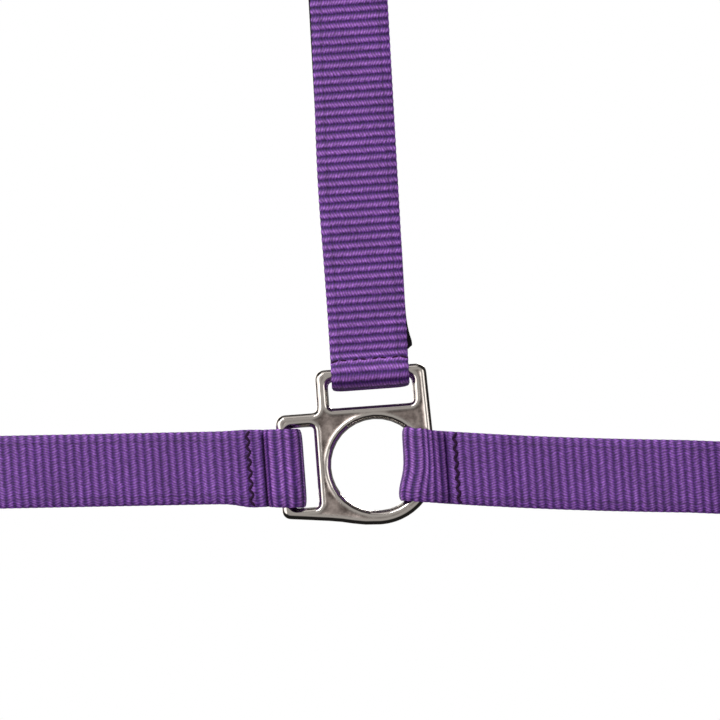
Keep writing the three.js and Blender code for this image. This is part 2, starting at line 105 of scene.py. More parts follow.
# The room: white where it is looked at, grey where it lights the halter, and for gloss a dark
# studio with soft white panels, so that round metal edges go from white to nearly black.
# Each panel has its direction, the cosines off it at which it begins and is full, and its strength.
gloss_base = 0.02
gloss_panels = [
    ((-0.82, -0.56, 0.08), 0.76, 0.90, 2.3),
    ((0.86, -0.5, 0.1), 0.90, 0.97, 1.3),
    ((-0.5, 0.8, 0.2), 0.84, 0.94, 1.8),
    ((0.0, -1, 0.05), 0.50, 0.97, 0.52),
    ((0, 1, 0.1), 0.50, 1.0, 0.50),
    ((-0.2, -0.3, 1), 0.93, 0.98, 0.9),
]
soft_base = 0.18
soft_panels = [
    ((0, 0, 1), -0.4, 1.0, 0.6),
    ((-0.6, -0.6, 0.5), -0.2, 1.0, 0.32),
]
world = bpy.data.worlds.new("paper_room")
world.use_nodes = True
scene.world = world
room = world.node_tree
room.nodes.clear()
sky = add_node(room, "ShaderNodeTexCoord").outputs["Generated"]


def glow(base, panels):
    """The room's strength in each direction: a base, with soft-edged bright panels added."""
    strength = base
    for direction, begins, full, bright in panels:
        aim = add_node(room, "ShaderNodeVectorMath", {"operation": "DOT_PRODUCT"}, in0=sky,
                       in1=Vector(direction).normalized())
        panel = add_node(room, "ShaderNodeMapRange", {"interpolation_type": "SMOOTHSTEP"},
                         in0=aim.outputs["Value"], in1=begins, in2=full, in3=0.0, in4=bright)
        strength = add_node(room, "ShaderNodeMath", {"operation": "ADD"}, in0=strength, in1=panel)
    return strength


path = add_node(room, "ShaderNodeLightPath")
seen = add_node(room, "ShaderNodeBackground", Color=(1, 1, 1, 1), Strength=1.0)
diffuse = add_node(room, "ShaderNodeBackground", Color=(1, 1, 1, 1), Strength=glow(soft_base, soft_panels))
gloss = add_node(room, "ShaderNodeBackground", Color=(1, 0.985, 0.965, 1),
                 Strength=glow(gloss_base, gloss_panels))
lighting = add_node(room, "ShaderNodeMixShader", in0=path.outputs["Is Glossy Ray"], in1=diffuse, in2=gloss)
shown = add_node(room, "ShaderNodeMixShader", in0=path.outputs["Is Camera Ray"], in1=lighting, in2=seen)
add_node(room, "ShaderNodeOutputWorld", Surface=shown)

# The floor: a wide pale sheet well below the halter.
floor_width = 44
floor_drop = 1000 * MM
paper_grain = 33.3
fitting_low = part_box("near_fitting")[0]
bpy.ops.mesh.primitive_plane_add(size=floor_width, location=(0, 0, fitting_low.z - floor_drop))
floor = bpy.context.object
floor.name = "paper_floor"
floor.visible_glossy = floor.visible_diffuse = False


def srgb(code):
    """A hex colour as it looks, turned to the linear values that a shader takes."""
    parts = [int(code[i:i + 2], 16) / 255 for i in (0, 2, 4)]
    return tuple(p / 12.92 if p <= 0.04045 else ((p + 0.055) / 1.055) ** 2.4 for p in parts) + (1.0,)


def new_material(name):
    """An empty material, its node tree and its surface shader."""
    material = bpy.data.materials.new(name)
    material.use_nodes = True
    tree = material.node_tree
    return material, tree, tree.nodes["Principled BSDF"]


def background_paper(name):
    """White paper: matt, faintly uneven, and lit a little from within so that its edge stays white."""
    material, tree, shader = new_material(name)
    place = add_node(tree, "ShaderNodeTexCoord").outputs["Object"]
    grain = add_node(tree, "ShaderNodeTexNoise", Scale=1 / (paper_grain * MM), Vector=place)
    tone = add_node(tree, "ShaderNodeMix", {"data_type": "RGBA"}, Factor=grain,
                    in6=srgb("f8f7f6"), in7=srgb("fcfbfa"))
    tree.links.new(tone.outputs[2], shader.inputs["Base Color"])
    shader.inputs["Roughness"].default_value = 0.9
    shader.inputs["Emission Color"].default_value = (1, 1, 1, 1)
    shader.inputs["Emission Strength"].default_value = 0.14
    return material


floor.data.materials.append(background_paper("white_paper"))

# ---------------------------------------------------------------- three-way fittings
# A fitting is one casting in zinc alloy: two slots and a ring in one flat plate. Its edges come
# rounded from the die, it is nickel plated, and only its bars and rims are buffed bright. Its sunken web
# is coloured darker than nickel, as painted shade.
TILT = math.radians(4.2)
MOTTLE = 4.76
GRIT = 0.526

# How a CAD copy is worked: its loose triangles are welded, its side walls are found near its middle
# plane, its edges keep a share of their height, and its web slopes down from the rims.
WELD = 0.01
WALL_SHARE = 0.3
EDGE_SHARE = 0.45
WEB_SLOPE = 0.8
SOFTENING = 0.5


def turned(x, y, z):
    """From the fitting's own upright to the halter's frame, in millimetres, for one point or many."""
    return np.stack([x * math.cos(TILT) - z * math.sin(TILT), y,
                     x * math.sin(TILT) + z * math.cos(TILT)], axis=-1)


def nickel_plate(name, dull, pale, bright, satin, buffed):
    """
    Nickel plate. Where the mesh's "web" value is 1 it is satin, faintly gritty and mottled from dull to
    pale, both tones darker than the bright as painted shade on the sunken web. Where the value is 0 it is
    buffed to an even bright.
    """
    material, tree, shader = new_material(name)
    place = add_node(tree, "ShaderNodeTexCoord").outputs["Object"]
    web = add_node(tree, "ShaderNodeAttribute", {"attribute_name": "web"}).outputs["Fac"]
    mottle = add_node(tree, "ShaderNodeTexNoise", Scale=1 / (MOTTLE * MM), Detail=5.0, Roughness=0.65,
                      Vector=place)
    grit = add_node(tree, "ShaderNodeTexNoise", Scale=1 / (GRIT * MM), Detail=3.0, Vector=place)
    patchy = add_node(tree, "ShaderNodeMapRange", in0=mottle, in1=0.36, in2=0.66)
    tone = add_node(tree, "ShaderNodeMix", {"data_type": "RGBA"}, Factor=patchy,
                    in6=srgb(dull), in7=srgb(pale))
    colour = add_node(tree, "ShaderNodeMix", {"data_type": "RGBA"}, Factor=web,
                      in6=srgb(bright), in7=tone.outputs[2])
    tree.links.new(colour.outputs[2], shader.inputs["Base Color"])
    rough = add_node(tree, "ShaderNodeMapRange", in0=web, in3=buffed, in4=satin)
    uneven = add_node(tree, "ShaderNodeMath", {"operation": "MULTIPLY_ADD"}, in0=patchy, in1=0.07, in2=rough)
    tree.links.new(uneven.outputs[0], shader.inputs["Roughness"])
    gritty = add_node(tree, "ShaderNodeMath", {"operation": "MULTIPLY"}, in0=grit, in1=web)
    waves = add_node(tree, "ShaderNodeMath", {"operation": "MULTIPLY_ADD"}, in0=mottle, in1=0.6, in2=gritty)
    bump = add_node(tree, "ShaderNodeBump", Strength=0.22, Distance=0.2 * MM, Height=waves)
    tree.links.new(bump.outputs[0], shader.inputs["Normal"])
    shader.inputs["Metallic"].default_value = 1.0
    return material


def points_of(mesh):
    """A mesh's vertices as rows of x, y, z."""
    flat = np.empty(len(mesh.vertices) * 3)
    mesh.vertices.foreach_get("co", flat)
    return flat.reshape(-1, 3)


def take(piece):
    """Selects one piece alone."""
    bpy.ops.object.select_all(action="DESELECT")
    piece.select_set(True)
    bpy.context.view_layer.objects.active = piece


def eased(share):
    """A share from 0 to 1 with a soft start and a soft end."""
    return share * share * (3 - 2 * share)


def round_over(points, depth, recess):
    """
    Rounds a flat casting's bars and rims over to a depth in from every edge, and sinks what lies
    further in, its web, by the recess. Gives how far each point belongs to the web, from 0 to 1.
    """
    middle = (points[:, 1].min() + points[:, 1].max()) / 2
    half = (points[:, 1].max() - points[:, 1].min()) / 2
    height = points[:, 1] - middle
    wall = np.flatnonzero(np.abs(height) < WALL_SHARE * half)
    edges = KDTree(len(wall))
    for i, index in enumerate(wall):
        edges.insert((points[index, 0], 0, points[index, 2]), i)
    edges.balance()
    inset = np.array([edges.find((x, 0, z))[2] for x, _, z in points]) / MM
    share = np.clip(inset / depth, 0, 1)
    web = eased(np.clip((inset - depth) / WEB_SLOPE, 0, 1))
    rounded = EDGE_SHARE + (1 - EDGE_SHARE) * np.sqrt(1 - (1 - share) ** 2)
    crown = half * rounded - recess * MM * web
    points[:, 1] = middle + np.clip(height, -crown, crown)
    return web


def cast_copy(node, name, voxel, passes, rounding=None):
    """The casting that a CAD node stands for, rounded over where that is asked for, then softened."""
    piece = bpy.data.objects.new(name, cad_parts[node].data.copy())
    scene.collection.objects.link(piece)
    take(piece)
    piece.data.materials.clear()
    bpy.ops.object.mode_set(mode="EDIT")
    bpy.ops.mesh.select_all(action="SELECT")
    bpy.ops.mesh.remove_doubles(threshold=WELD * MM)
    bpy.ops.object.mode_set(mode="OBJECT")
    remesh = piece.modifiers.new("casting", "REMESH")
    remesh.mode = "VOXEL"
    remesh.voxel_size = voxel * MM
    bpy.ops.object.modifier_apply(modifier=remesh.name)
    points = points_of(piece.data)
    web = round_over(points, *rounding) if rounding else np.zeros(len(points))
    piece.data.vertices.foreach_set("co", points.ravel())
    piece.data.attributes.new("web", "FLOAT", "POINT").data.foreach_set("value", web.astype(np.float32))
    soften = piece.modifiers.new("buffing", "SMOOTH")
    soften.factor = SOFTENING
    soften.iterations = passes
    bpy.ops.object.modifier_apply(modifier=soften.name)
    bpy.ops.object.shade_smooth()
    return piece


EDGE_DEPTH = 1.75
WEB_RECESS = 0.45
# The web's two tones are painted shade; the bright is the buffed nickel.
cast_nickel = nickel_plate("cast_nickel_plate", "594f4b", "a39791", "c9c2bc", satin=0.34, buffed=0.11)
for side in ("near", "off"):
    fitting = cast_copy(f"{side}_fitting", f"{side}_three_way_fitting", voxel=0.32, passes=11,
                        rounding=(EDGE_DEPTH, WEB_RECESS))
    fitting.data.materials.append(cast_nickel)
    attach(fitting, f"{side}_fitting")
    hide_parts(f"{side}_fitting")

# ---------------------------------------------------------------- nose strap
# Two layers of ribbed nylon webbing. The inner one folds back round the side bar of each fitting,
# and the outer one is sewn over it, with its heat-cut ends just short of the folds.
HEAD_WIDTH = 114
WEB_THICK = 1.9
LAYER_PITCH = 2.3
NOSE_WIDTH = 24.4
NOSE_SLOPE = -0.0533
FRONT_BEND = -115
BEND_RADIUS = 45
NOSE_SEAM = -42.3
HALF_GAP = 0.5
mid = LAYER_PITCH / 2

# The weave's ribs: their pitch, the mesh rows in one, and how full and how high they stand. A
# strap's section is a flat one with rounded edges, and its selvedge waves in with every rib.
RIB_PITCH = 2.62
RIB_STEPS = 8
RIB_FULLNESS = 0.7
RIB_MEAN = 0.62
SELVEDGE_TURN = math.radians(84)
SELVEDGE_ROUND = 0.9
SELVEDGE_SHARPNESS = 9
SELVEDGE_WAVE = 0.02
PATTERN_WIDTH = 25
SHARP_EDGE = math.radians(50)
SAME_PLACE = 1e-6
WAY_REACH = 0.35


def arc(cx, cy, radius, start, stop, steps=24):
    """Points on an arc, with its angles in degrees."""
    angles = np.radians(np.linspace(start, stop, steps + 1))
    return [(cx + radius * math.cos(a), cy + radius * math.sin(a)) for a in angles]


def ease(p0, p1, p2, p3, steps=14):
    """Points on a Bezier curve."""
    points = []
    for t in np.linspace(0, 1, steps + 1):
        weights = ((1 - t) ** 3, 3 * t * (1 - t) ** 2, 3 * t * t * (1 - t), t ** 3)
        points.append(tuple(sum(w * p[k] for w, p in zip(weights, (p0, p1, p2, p3))) for k in (0, 1)))
    return points


def both_sides(half):
    """Half a muzzle strap's route, which ends just short of the middle, and the same on the off side."""
    return half + [(x, HEAD_WIDTH - y) for x, y in reversed(half)]


def route_length(route):
    """How long a route is from end to end."""
    return float(np.hypot(*np.diff(np.array(route, dtype=float), axis=0).T).sum())


def along_route(route, distances):
    """The points at those distances along a route, and the way across it at each."""
    route = np.array(route, dtype=float)
    steps = np.hypot(*np.diff(route, axis=0).T)
    route = route[np.concatenate(([True], steps > SAME_PLACE))]
    reach = np.concatenate(([0], np.cumsum(np.hypot(*np.diff(route, axis=0).T))))

    def at(distance):
        return np.stack([np.interp(distance, reach, route[:, k]) for k in (0, 1)], axis=1)

    way = at(distances + WAY_REACH) - at(distances - WAY_REACH)
    way /= np.linalg.norm(way, axis=1)[:, None]
    return at(distances), np.stack([-way[:, 1], way[:, 0]], axis=1)


def face_outwards(piece):
    """Turns all of a closed piece's faces outwards."""
    take(piece)
    bpy.ops.object.mode_set(mode="EDIT")
    bpy.ops.mesh.select_all(action="SELECT")
    bpy.ops.mesh.normals_make_consistent(inside=False)
    bpy.ops.object.mode_set(mode="OBJECT")


def lay_webbing(name, route, width, place, rib, across=16, thick=WEB_THICK, cut=None, taper=None,
                pitch=RIB_PITCH, steps=RIB_STEPS):
    """A length of ribbed webbing: a flat strip that is ribbed, cut to shape, then bent to its route."""
    length = route_length(route)
    ribs = max(2, round(length / pitch))
    bpy.ops.object.select_all(action="DESELECT")
    bpy.ops.mesh.primitive_grid_add(x_subdivisions=ribs * steps, y_subdivisions=across, size=1)
    strap = bpy.context.object
    strap.name = strap.data.name = name
    bpy.ops.object.mode_set(mode="EDIT")
    bpy.ops.mesh.extrude_region_move(TRANSFORM_OT_translate={"value": (0, 0, 1)})
    bpy.ops.object.mode_set(mode="OBJECT")
    face_outwards(strap)

    flat = points_of(strap.data)
    run = (flat[:, 0] + 0.5) * length
    edge = np.sin(flat[:, 1] * 2 * SELVEDGE_TURN) / math.sin(SELVEDGE_TURN)
    face = np.where(flat[:, 2] > 0.5, 1.0, -1.0)
    rib_turn = math.pi * run * ribs / length
    relief = rib * (np.abs(np.sin(rib_turn)) ** RIB_FULLNESS - RIB_MEAN)
    half = (thick / 2 + relief) * np.sqrt(1 - SELVEDGE_ROUND * np.abs(edge) ** SELVEDGE_SHARPNESS)
    spread = width / 2 * edge * (1 - SELVEDGE_WAVE * rib * (1 + np.cos(2 * rib_turn)))
    if taper is not None:
        spread = spread * taper(run)
    strap.data.vertices.foreach_set("co", np.stack([run, spread, face * half], axis=1).ravel())
    strap.data.update()
    if cut is not None:
        cut(strap)
    run, spread, through = points_of(strap.data).T

    corner = np.empty(len(strap.data.loops), dtype=np.int32)
    strap.data.loops.foreach_get("vertex_index", corner)
    pattern = np.stack([run * ribs * pitch / length, spread * PATTERN_WIDTH / width], axis=1) * MM
    strap.data.uv_layers[0].data.foreach_set("uv", pattern[corner].ravel().astype(np.float32))

    here, side = along_route(route, run)
    bent = here + side * through[:, None]
    strap.data.vertices.foreach_set("co", place(bent[:, 0], bent[:, 1], spread).ravel() * MM)
    strap.data.update()
    face_outwards(strap)
    bpy.ops.object.shade_smooth_by_angle(angle=SHARP_EDGE)
    return strap


# The yarns' width, how far they and the ribs stray, and the sizes of their breaks, fuzz and wear.
# Real yarns are about half as wide. They are drawn this coarse so that they show.
YARN = 0.92
YARN_SLANT = 0.4
YARN_STRAY = 1.3
STRAY_LENGTH = 3.33
RIB_STRAY = 0.5
BREAK = 1.053
FUZZ = 0.345
WEAR = 14.3
SELVEDGE_LINE = 9.4
SELVEDGE_LINE_HALF = 0.3


def ribbed_nylon(name, crest, body, groove, rib_shade_strength):
    """
    Ribbed nylon webbing. Each rib has painted light on its crest and painted shade in its groove, and its
    yarns slant one way on one rib and the other way on the next, a herringbone of small painted highlights.
    """
    material, tree, shader = new_material(name)
    flat_map = add_node(tree, "ShaderNodeUVMap")
    parts = add_node(tree, "ShaderNodeSeparateXYZ", Vector=flat_map)
    along, across = parts.outputs["X"], parts.outputs["Y"]
    stray, ragged, fuzz, worn = [
        add_node(tree, "ShaderNodeTexNoise", Scale=1 / (size * MM), Detail=detail, Vector=flat_map)
        for size, detail in ((STRAY_LENGTH, 2.0), (BREAK, 2.0), (FUZZ, 3.0), (WEAR, 3.0))]

    # The ribs' painted shade and light: from groove to crest and back in one pitch, with a ragged edge.
    centred = add_node(tree, "ShaderNodeMath", {"operation": "ADD"}, in0=along, in1=-RIB_STRAY / 2 * MM)
    wavy = add_node(tree, "ShaderNodeMath", {"operation": "MULTIPLY_ADD"}, in0=ragged,
                    in1=RIB_STRAY * MM, in2=centred)
    climb = add_node(tree, "ShaderNodeMath", {"operation": "PINGPONG"}, in0=wavy, in1=RIB_PITCH / 2 * MM)
    rib = add_node(tree, "ShaderNodeMath", {"operation": "MULTIPLY"}, in0=climb, in1=2 / (RIB_PITCH * MM))
    ramp = add_node(tree, "ShaderNodeValToRGB", Fac=rib)
    low, high = ramp.color_ramp.elements
    low.position, low.color = 0.2, srgb(groove)
    high.position, high.color = 0.85, srgb(crest)
    ramp.color_ramp.elements.new(0.48).color = srgb(body)
    # The dye's body colour, mixed towards the painted rib shade by its strength.
    painted_rib_shade = add_node(tree, "ShaderNodeMix", {"data_type": "RGBA"}, Factor=rib_shade_strength, in6=srgb(body), in7=ramp)

    # The yarns: they slant by turns on the ribs, stray a little, and carry painted highlights along their
    # tops.
    zigzag = add_node(tree, "ShaderNodeMath", {"operation": "PINGPONG"}, in0=along, in1=RIB_PITCH * MM)
    strayed = add_node(tree, "ShaderNodeMath", {"operation": "MULTIPLY_ADD"}, in0=stray,
                       in1=YARN_STRAY * MM, in2=across)
    slant = add_node(tree, "ShaderNodeMath", {"operation": "MULTIPLY_ADD"}, in0=zigzag,
                     in1=YARN_SLANT, in2=strayed)
    twist = add_node(tree, "ShaderNodeMath", {"operation": "PINGPONG"}, in0=slant, in1=YARN / 2 * MM)
    pick = add_node(tree, "ShaderNodeMath", {"operation": "MULTIPLY"}, in0=twist, in1=2 / (YARN * MM))
    yarns = add_node(tree, "ShaderNodeMapRange", in0=pick, in1=0.2, in2=0.8, in3=0.62, in4=1.2)

    # What varies the yarns' painted highlights: their breaks, specks of fuzz, wear, and the selvedge's dark
    # line.
    from_middle = add_node(tree, "ShaderNodeMath", {"operation": "ABSOLUTE"}, in0=across)
    selvedge = add_node(tree, "ShaderNodeMath", {"operation": "COMPARE"}, in0=from_middle,
                        in1=SELVEDGE_LINE * MM, in2=SELVEDGE_LINE_HALF * MM)
    light = yarns
    for factor in (
            add_node(tree, "ShaderNodeMapRange", in0=ragged, in1=0.36, in2=0.64, in3=0.7, in4=1.28),
            add_node(tree, "ShaderNodeMapRange", in0=fuzz, in1=0.32, in2=0.68, in3=0.78, in4=1.22),
            add_node(tree, "ShaderNodeMapRange", in0=worn, in1=0.3, in2=0.7, in3=0.88, in4=1.12),
            add_node(tree, "ShaderNodeMath", {"operation": "MULTIPLY_ADD"}, in0=selvedge, in1=-0.3, in2=1.0)):
        light = add_node(tree, "ShaderNodeMath", {"operation": "MULTIPLY"}, in0=light, in1=factor)
    tone = add_node(tree, "ShaderNodeVectorMath", {"operation": "SCALE"}, in0=painted_rib_shade.outputs[2], Scale=light)
    tree.links.new(tone.outputs[0], shader.inputs["Base Color"])
    relief = add_node(tree, "ShaderNodeMath", {"operation": "MULTIPLY_ADD"}, in0=fuzz, in1=0.4, in2=yarns)
    bump = add_node(tree, "ShaderNodeBump", Strength=0.6, Distance=0.2 * MM, Height=relief)
    tree.links.new(bump.outputs[0], shader.inputs["Normal"])
    shader.inputs["Roughness"].default_value = 0.6
    shader.inputs["Specular IOR Level"].default_value = 0.3
    shader.inputs["Sheen Weight"].default_value = 0.06
    shader.inputs["Sheen Roughness"].default_value = 0.4
    shader.inputs["Sheen Tint"].default_value = srgb("a583c4")
    return material


# The looped ends are deeply ribbed, with strong painted rib shade; the long outer runs are flatter, with
# weaker painted rib shade.
loop_webbing = ribbed_nylon("ribbed_nylon_webbing", "8d5aaa", "623384", "371659", rib_shade_strength=0.97)
outer_webbing = ribbed_nylon("flat_ribbed_nylon_webbing", "80529f", "623386", "3e1c5e", rib_shade_strength=0.85)
LOOP_RIB = 0.26
OUTER_RIB = 0.16

# How the webbing spreads at its stitches and where it folds, most at its lower edge.
SEAM_SPREAD = 1.2
SEAM_SPREAD_REACH = 5.5
FOLD_SPREAD = 1.7
FOLD_SPREAD_PLACE = -36.5
FOLD_SPREAD_EASE = 1.9
UPPER_SPREAD = 0.35


def bell(value, middle, reach):
    """1 at the middle, fading to nothing about twice the reach away."""
    return np.exp(-((value - middle) / reach) ** 2)


def nose_place(x, y, across):
    """Where the webbing lies: it drops slowly forwards, and spreads at its stitches and its fold."""
    lower = np.interp(across, (-NOSE_WIDTH / 2, 0), (1, 0))
    upper = np.interp(across, (0, NOSE_WIDTH / 2), (0, 1))
    at_seam = bell(x, NOSE_SEAM, SEAM_SPREAD_REACH)
    at_fold = 1 / (1 + np.exp(-(x - FOLD_SPREAD_PLACE) / FOLD_SPREAD_EASE))
    level = NOSE_SLOPE * x + upper * UPPER_SPREAD * (at_seam + at_fold)
    return turned(x, y, across + level - lower * (SEAM_SPREAD * at_seam + FOLD_SPREAD * at_fold))


def nose_front(offset):
    """Round the front of the nose as far as its middle, at that offset from the middle of the layers."""
    bend = arc(FRONT_BEND, BEND_RADIUS, BEND_RADIUS - offset, -90, -180)
    return bend + [(FRONT_BEND - BEND_RADIUS + offset, HEAD_WIDTH / 2 - HALF_GAP)]


def cross_over(start, end, leave=0.5, arrive=0.5):
    """An S-bend from one layer to another; the shares say how long it keeps to each."""
    (x0, y0), (x1, y1) = start, end
    return ease(start, (x0 + leave * (x1 - x0), y0), (x1 + arrive * (x0 - x1), y1), end)


LOOP_REACH = 3.7
NOSE_FOLD = -29.25
NOSE_CREST = -33
NOSE_DIVE = -37.8
NOSE_LAP = -37.8
NOSE_TAIL = -50
TAIL_STEP = 2
STEP_RUN = 8
nose_loop_route = both_sides(
    [(NOSE_TAIL, 0)]
    + cross_over((NOSE_DIVE, 0), (NOSE_CREST, -LOOP_REACH))
    + arc(NOSE_FOLD, 0, LOOP_REACH, -90, 90)
    + cross_over((NOSE_CREST, LOOP_REACH), (NOSE_DIVE, LAYER_PITCH))
    + cross_over((NOSE_TAIL - TAIL_STEP, LAYER_PITCH), (NOSE_TAIL - TAIL_STEP - STEP_RUN, mid))
    + [(FRONT_BEND, mid)] + nose_front(mid))
nose_outer_route = both_sides(
    [(NOSE_LAP, -LAYER_PITCH)]
    + cross_over((NOSE_TAIL - TAIL_STEP, -LAYER_PITCH), (NOSE_TAIL - TAIL_STEP - STEP_RUN, -mid))
    + [(FRONT_BEND, -mid)] + nose_front(-mid))

nose_loop = lay_webbing("nose_loop_webbing", nose_loop_route, NOSE_WIDTH, nose_place, LOOP_RIB)
nose_outer = lay_webbing("nose_outer_webbing", nose_outer_route, NOSE_WIDTH, nose_place, OUTER_RIB)
for strap, material, node in ((nose_loop, loop_webbing, "nose_loop_strap"),
                              (nose_outer, outer_webbing, "nose_outer_strap")):
    strap.data.materials.append(material)
    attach(strap, "nose_strap")
    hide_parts(node)

# ---------------------------------------------------------------- chin strap
# The same two layers, looped through the rings. The ring's round bar pushes the fold inwards,
# least at its lower edge, and the strap sags a little on its way back under the jaw.
CHIN_BEND = 103
RING_REACH = 4.75
CHIN_FOLD = 11.95
CHIN_TAIL = 38
CHIN_DIVE = 25
CHIN_LAP = 24
CHIN_CREST = 15
CHIN_INNER_CREST = 19
CHIN_SEAM = 26.5
CHIN_LEVEL = 0.4
CHIN_SLOPE = -0.115
CHIN_SAG = 0.75
SAG_START = 8

# How far the fold is pushed inwards: a mean, more above a level on the strap and less below it,
# and nothing past the fold.
PUSH_MEAN = 1.6
PUSH_SWING = 1.45
PUSH_LEVEL = -5.5
PUSH_EASE = 4.5
PUSH_FULL = 11.5
PUSH_END = 21.5


def chin_place(x, y, across):
    """The strap's level, and how the round ring pushes all but the lower edge of its fold inwards."""
    sag = CHIN_SAG * np.sin(np.interp(x, (SAG_START, CHIN_BEND), (0, math.pi)))
    near_fold = eased(np.interp(x, (PUSH_FULL, PUSH_END), (1, 0)))
    pushed = near_fold * (PUSH_MEAN + PUSH_SWING * np.tanh((across - PUSH_LEVEL) / PUSH_EASE))
    return turned(x + pushed, y, across + CHIN_LEVEL + CHIN_SLOPE * x - sag)


def jaw_bend(offset):
    """Round the back of the jaw as far as its middle."""
    bend = arc(CHIN_BEND, BEND_RADIUS, BEND_RADIUS - offset, -90, 0)
    return bend + [(CHIN_BEND + BEND_RADIUS - offset, HEAD_WIDTH / 2 - HALF_GAP)]


chin_loop_route = both_sides(
    [(CHIN_TAIL, 0)]
    + cross_over((CHIN_DIVE, 0), (CHIN_CREST, -RING_REACH), leave=0.35, arrive=0.8)
    + arc(CHIN_FOLD, 0, RING_REACH, -90, -270)
    + cross_over((CHIN_INNER_CREST, RING_REACH), (CHIN_DIVE, LAYER_PITCH))
    + cross_over((CHIN_TAIL + TAIL_STEP, LAYER_PITCH), (CHIN_TAIL + TAIL_STEP + STEP_RUN, mid))
    + [(CHIN_BEND, mid)] + jaw_bend(mid))
chin_outer_route = both_sides(
    [(CHIN_LAP, -LAYER_PITCH)]
    + cross_over((CHIN_TAIL + TAIL_STEP, -LAYER_PITCH), (CHIN_TAIL + TAIL_STEP + STEP_RUN, -mid))
    + [(CHIN_BEND, -mid)] + jaw_bend(-mid))
chin_loop = lay_webbing("chin_loop_webbing", chin_loop_route, NOSE_WIDTH, chin_place, LOOP_RIB)
chin_outer = lay_webbing("chin_outer_webbing", chin_outer_route, NOSE_WIDTH, chin_place, OUTER_RIB)
for strap, material, node in ((chin_loop, loop_webbing, "chin_loop_strap"),
                              (chin_outer, outer_webbing, "chin_outer_strap")):
    strap.data.materials.append(material)
    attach(strap, "chin_strap")
    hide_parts(node)

# ---------------------------------------------------------------- near cheek strap
# One length of the wider webbing. It folds round the fitting's top bar and round the buckle's
# heel bar, and both tails are sewn down behind it. A slot in the upper fold lets the tongue through.
CHEEK_WIDTH = 26
CHEEK_SLOPE = 0.0164
TOP_BAR = 30.85
BAR_REACH = 3.9
CHEEK_FOLD = 30.55
HEEL_BAR = 222
CHEEK_CLOSE = 38
CHEEK_TAIL = 62
HEEL_CLOSE = 8
HEEL_TAIL = 62
CHEEK_SPREAD = 0.9
CHEEK_SPREAD_HEIGHT = 95
CHEEK_SPREAD_REACH = 32
CHEEK_RIB = 0.25
TONGUE_SLOT = (15, 7.4, 8)
CLOSE_TO_FOLD = 14.5


def drift(height):
    """How far the cheek strap has leaned off the fitting's own upright at that height."""
    return CHEEK_SLOPE * (height - TOP_BAR)


def cheek_place(y, z, across):
    """The webbing leans a little, and has spread at its nose edge between the fitting and the buckle."""
    at_edge = np.interp(across, (0, CHEEK_WIDTH / 2), (0, 1))
    spread = CHEEK_SPREAD * at_edge * bell(z, CHEEK_SPREAD_HEIGHT, CHEEK_SPREAD_REACH)
    return turned(drift(z) - across - spread, y, z)


def cross_up(start, end):
    """An S-bend from one layer to another in a route that is drawn as (layer, height)."""
    middle = (start[1] + end[1]) / 2
    return ease(start, (start[0], middle), (end[0], middle), end)


def lower_fold(middle, side):
    """From a tail up behind the strap, round the fitting's top bar and up the outside."""
    tail, behind, before, face = [middle + side * reach for reach in (mid, BAR_REACH, -BAR_REACH, -mid)]
    start, stop = (0, -180) if side > 0 else (-180, 0)
    return ([(tail, CHEEK_TAIL)]
            + cross_up((tail, CHEEK_CLOSE), (behind, CHEEK_FOLD))
            + arc(middle, CHEEK_FOLD, BAR_REACH, start, stop)
            + cross_up((before, CHEEK_FOLD), (face, CHEEK_CLOSE)))


cheek_route = (
    lower_fold(0, 1)
    + cross_up((-mid, HEEL_BAR - HEEL_CLOSE), (-BAR_REACH, HEEL_BAR))
    + arc(0, HEEL_BAR, BAR_REACH, 180, 0)
    + cross_up((BAR_REACH, HEEL_BAR), (mid, HEEL_BAR - HEEL_CLOSE))
    + [(mid, HEEL_BAR - HEEL_TAIL)])


def punch(strap, cutter):
    """Cuts a shape out of a flat strip of webbing."""
    hole = strap.modifiers.new("punch", "BOOLEAN")
    hole.operation = "DIFFERENCE"
    hole.object = cutter
    hole.solver = "EXACT"
    bpy.context.view_layer.objects.active = strap
    bpy.ops.object.modifier_apply(modifier=hole.name)
    bpy.data.objects.remove(cutter)


def tongue_slot(strap):
    """The slot that the buckle's tongue comes out of, cut by a block at the middle of the upper fold."""
    to_fold = route_length(cheek_route) - (HEEL_TAIL - HEEL_CLOSE) - CLOSE_TO_FOLD
    bpy.ops.object.select_all(action="DESELECT")
    bpy.ops.mesh.primitive_cube_add(size=1, location=(to_fold, 0, 0), scale=TONGUE_SLOT)
    punch(strap, bpy.context.object)


cheek = lay_webbing("near_cheek_webbing", cheek_route, CHEEK_WIDTH, cheek_place, CHEEK_RIB, cut=tongue_slot)
cheek.data.materials.append(loop_webbing)
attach(cheek, "near_cheek")
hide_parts("near_cheek_strap")

# ---------------------------------------------------------------- cheek lining
# A strip of tape sewn behind the cheek strap, a little crooked, so that its lower corner shows at the jaw
# side. Its near-black colour is painted shade, standing for the strap's back ply deep in shadow. It steps in
# past the lower tail and ends just short of the upper one.
LINING_LAYER = LAYER_PITCH * 1.5
LINING_STEP = 10
LINING_LOW = CHEEK_CLOSE - 1.5
LINING_START = CHEEK_TAIL + 2
LINING_GAP = 0.5
CORNER_STRETCH = 1.6
CORNER_HEIGHT = CHEEK_CLOSE - 1
CORNER_REACH = 7.5
SLANT_CUT = 2.4
SLANT_FROM = 10.3
SLANT_REACH = 4
CROOKED = -0.45
CROOKED_HEIGHTS = (70, 95)
TAPE_RIB = 0.05
TAPE_PITCH = 1.4
TAPE_STEPS = 4
TAPE_WEAVE = 0.8
TAPE_FUZZ = 0.455


